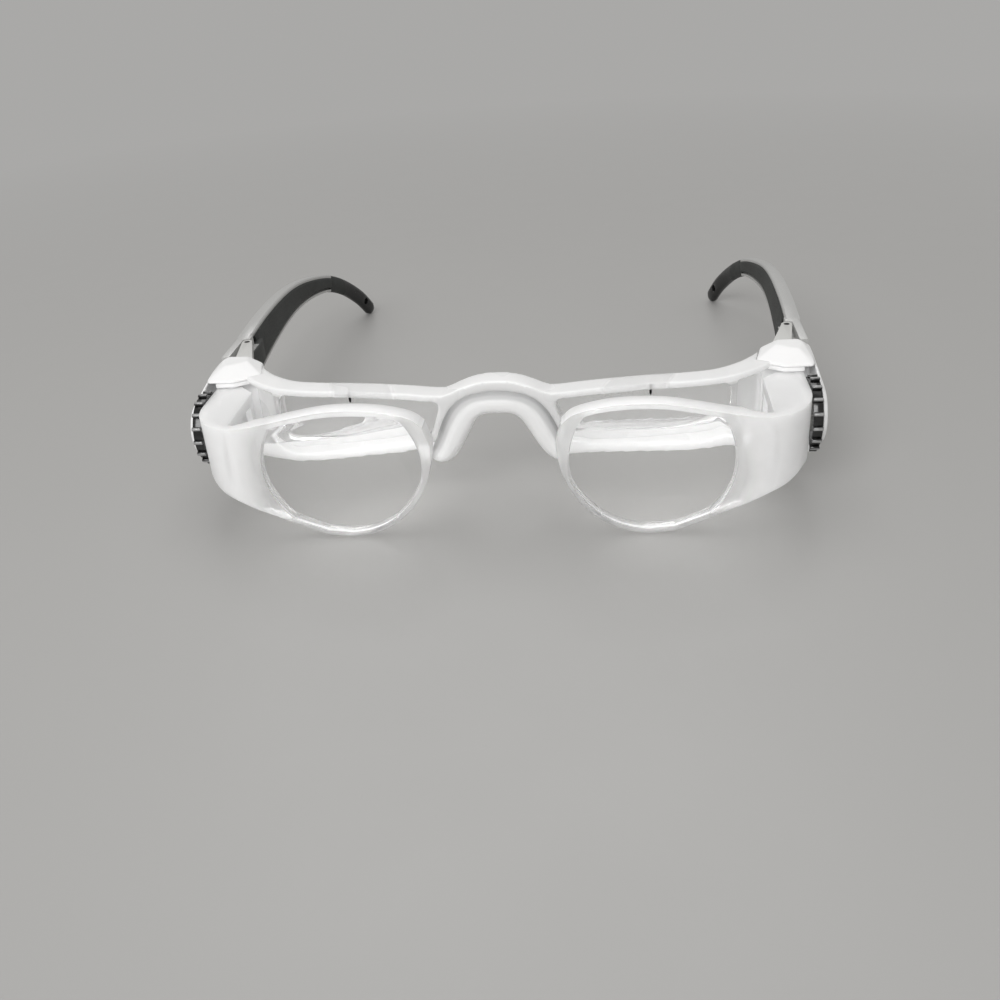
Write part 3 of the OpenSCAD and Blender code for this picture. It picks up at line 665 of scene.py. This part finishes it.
def thumbWheel(side):
    shape = wheelSize
    nodeName = "focus_wheel_" + side
    low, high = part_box(nodeName)
    middle = Vector(((low.x + high.x) / 2, shape["y"], shape["z"]))
    wheel = copyOf(nodeName, "wheel_" + side)
    for point in wheel.data.vertices:  # the solid's own ribs are pressed down to the core
        arm = point.co - middle
        arm.x = 0
        if arm.length > shape["core"]:
            point.co -= arm * (1 - shape["core"] / arm.length)
    outwards(wheel)
    softenEdges(wheel, shape["coreEase"], 2, 50)

    rods = []
    for count in range(shape["ribs"]):
        putDown()
        bpy.ops.mesh.primitive_cylinder_add(
            vertices=shape["ribSides"], radius=shape["ribRound"], depth=high.x - low.x,
            location=middle + Vector((0, 0, shape["rim"] - shape["ribRound"])),
            rotation=(0, math.pi / 2, 0))
        rod = bpy.context.object
        settle(rod)
        editAll(rod)
        bpy.ops.transform.rotate(value=math.tau * count / shape["ribs"], orient_axis="X",
                                 center_override=middle)
        softenEdges(rod, shape["ribEase"], 3, 40, 40)
        rods.append(rod)
    pickUp(wheel)
    for rod in rods:
        rod.select_set(True)
    bpy.ops.object.join()
    dress(wheel, "wheel_" + side, nodeName, finishes["black"])


for side in sides:
    thumbWheel(side)
print("thumb wheels ribbed")

# rear frame and saddle, moulded softer than the rest
soft = {"voxel": 0.3 * mm, "frameRounds": 6, "saddleRounds": 8}

# the outer lower corners of the frame's rims are drawn out square, the openings stay round:
# the corner's middle, the radii between which the drawing out sets in, and its share
rimCorner = {"x": 49.2 * mm, "z": 19.8 * mm, "inner": 7.3 * mm, "outer": 8.1 * mm, "square": 0.85}

rearFrame = copyOf("rear_frame", "rearFrame")
melt(rearFrame, soft["voxel"], soft["frameRounds"])
for point in rearFrame.data.vertices:
    outX = abs(point.co.x) - rimCorner["x"]
    downZ = rimCorner["z"] - point.co.z
    if outX > 0 and downZ > 0:
        away = math.hypot(outX, downZ)
        setIn = rimCorner["outer"] - rimCorner["inner"]
        reach = min(1, max(0, (away - rimCorner["inner"]) / setIn))
        stretch = 1 + rimCorner["square"] * reach * (away / max(outX, downZ) - 1)
        point.co.x = math.copysign(rimCorner["x"] + outX * stretch, point.co.x)
        point.co.z = rimCorner["z"] - downZ * stretch
dress(rearFrame, "frame", "rear_frame", finishes["clear"])

saddle = copyOf("nose_saddle", "saddle")
melt(saddle, soft["voxel"], soft["saddleRounds"])
dress(saddle, "frame", "nose_saddle", finishes["soft"])

# small dark pegs under the brow bar, one over each eye
pegSize = {"x": 36.5 * mm, "y": 17.7 * mm, "top": 30.4 * mm, "length": 2.3 * mm,
           "radius": 0.3 * mm, "tipRadius": 0.2 * mm, "tip": 0.35 * mm, "ease": 0.06 * mm,
           "sides": 20}


def browPeg(side):
    putDown()
    middle = Vector((sides[side] * pegSize["x"], frontY + pegSize["y"],
                     pegSize["top"] - pegSize["length"] / 2))
    bpy.ops.mesh.primitive_cylinder_add(
        vertices=pegSize["sides"], radius=pegSize["radius"], depth=pegSize["length"],
        location=middle)
    peg = bpy.context.object
    peg.name = "browPeg_" + side
    settle(peg)
    editAll(peg)
    bpy.ops.mesh.select_all(action="DESELECT")
    bpy.ops.object.mode_set(mode="OBJECT")
    foot = min(face.center.z for face in peg.data.polygons)
    for face in peg.data.polygons:
        face.select = face.center.z < foot + clean["level"]
    bpy.ops.object.mode_set(mode="EDIT")
    bpy.ops.mesh.inset(thickness=pegSize["radius"] - pegSize["tipRadius"])
    bpy.ops.mesh.extrude_region_move(TRANSFORM_OT_translate={"value": (0, 0, -pegSize["tip"])})
    outwards(peg)
    softenEdges(peg, pegSize["ease"], 2, 40, 40)
    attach(peg, "frame")
    peg.data.materials.clear()
    peg.data.materials.append(finishes["darkSteel"])


for side in sides:
    browPeg(side)
print("brow pegs set")

for side in sides:
    repaint("wheel_axle_" + side, finishes["steel"])
    repaint("hinge_pin_" + side, finishes["darkSteel"])
    repaint("focus_pinion_" + side, finishes["pinion"])
print("small parts finished")


# floor, light and camera; the floor lies just under the object, and between the two plain
# distances from its middle it turns into an even backdrop
studio = {"floor": 0.40, "floorSize": 24.0, "floorUnder": 0.02 * mm, "room": 0.40,
          "tint": (1, 0.99, 0.97), "plainStart": 0.17, "plainEnd": 0.55,
          "lamps": {
              "overhead": {"place": (0.05, 0.25, 1.0), "width": 1.1, "depth": 0.7, "power": 1.3},
              "fill": {"place": (-0.25, -1.0, 0.75), "width": 0.9, "depth": 0.6, "power": 10.5},
              "back": {"place": (-0.1, 0.75, 0.95), "width": 0.9, "depth": 0.5, "power": 2.5}}}

putDown()
bpy.ops.mesh.primitive_plane_add(size=studio["floorSize"],
                                 location=(0, 0, cadLow.z - studio["floorUnder"]))
floor = bpy.context.object
floor.name = "floor"


def floorPaint():
    paint = Finish("floorPaint")
    grain = paint.noise(50 * mm, 4.0, 0.6)
    table = paint.shader({
        "Base Color": grey(studio["floor"], studio["tint"]),
        "Roughness": paint.varied(grain, 0.36, 0.44), "Specular IOR Level": 0.4})
    sideways, back = paint.axis("X"), paint.axis("Y")
    far = paint.spread(paint.distance(sideways, back), studio["plainStart"], studio["plainEnd"])
    seen = paint.lightPath("Is Camera Ray")
    for name in ("Is Glossy Ray", "Is Transmission Ray"):
        seen = paint.most(seen, paint.lightPath(name))
    backdrop = paint.node("ShaderNodeEmission", {}, {
        "Color": grey(studio["floor"], studio["tint"])}).outputs[0]
    return paint.finished(paint.mixed(far * seen, table, backdrop))


floor.data.materials.append(floorPaint())

world = bpy.data.worlds.new("room")
bpy.context.scene.world = world
world.use_nodes = True
roomLight = world.node_tree.nodes["Background"].inputs
roomLight["Color"].default_value = grey(1.0, studio["tint"])
roomLight["Strength"].default_value = studio["room"]

for lampName, lampFacts in studio["lamps"].items():
    putDown()
    bpy.ops.object.light_add(type="AREA", location=lampFacts["place"])
    lamp = bpy.context.object
    lamp.name = lampName
    lamp.data.shape = "RECTANGLE"
    lamp.data.size, lamp.data.size_y = lampFacts["width"], lampFacts["depth"]
    lamp.data.energy = lampFacts["power"]
    lamp.rotation_euler = (-lamp.location).to_track_quat("-Z", "Y").to_euler()

# the photograph's camera, fitted: place in metres, angles in degrees, lens in millimetres
view = {"place": (0.0282, -0.2957, 0.1309), "yaw": -7.31, "pitch": 29.39, "roll": -4.5,
        "lens": 37.8, "sensor": 36, "nearest": 0.01}


def aimCamera():
    yaw, pitch, roll = (math.radians(view[k]) for k in ("yaw", "pitch", "roll"))
    ahead = Vector((math.sin(yaw) * math.cos(pitch), math.cos(yaw) * math.cos(pitch),
                    -math.sin(pitch)))
    flat = Vector((math.cos(yaw), -math.sin(yaw), 0))
    level = flat.cross(ahead)
    right = math.cos(roll) * flat + math.sin(roll) * level
    up = -math.sin(roll) * flat + math.cos(roll) * level
    turned = Matrix((right, up, -ahead)).transposed().to_4x4()
    putDown()
    bpy.ops.object.camera_add()
    camera = bpy.context.object
    camera.matrix_world = Matrix.Translation(view["place"]) @ turned
    camera.data.lens = view["lens"]
    camera.data.sensor_width = view["sensor"]
    camera.data.clip_start = view["nearest"]
    bpy.context.scene.camera = camera


aimCamera()
bpy.context.scene.view_settings.view_transform = "Standard"
print("camera aimed")

putDown()
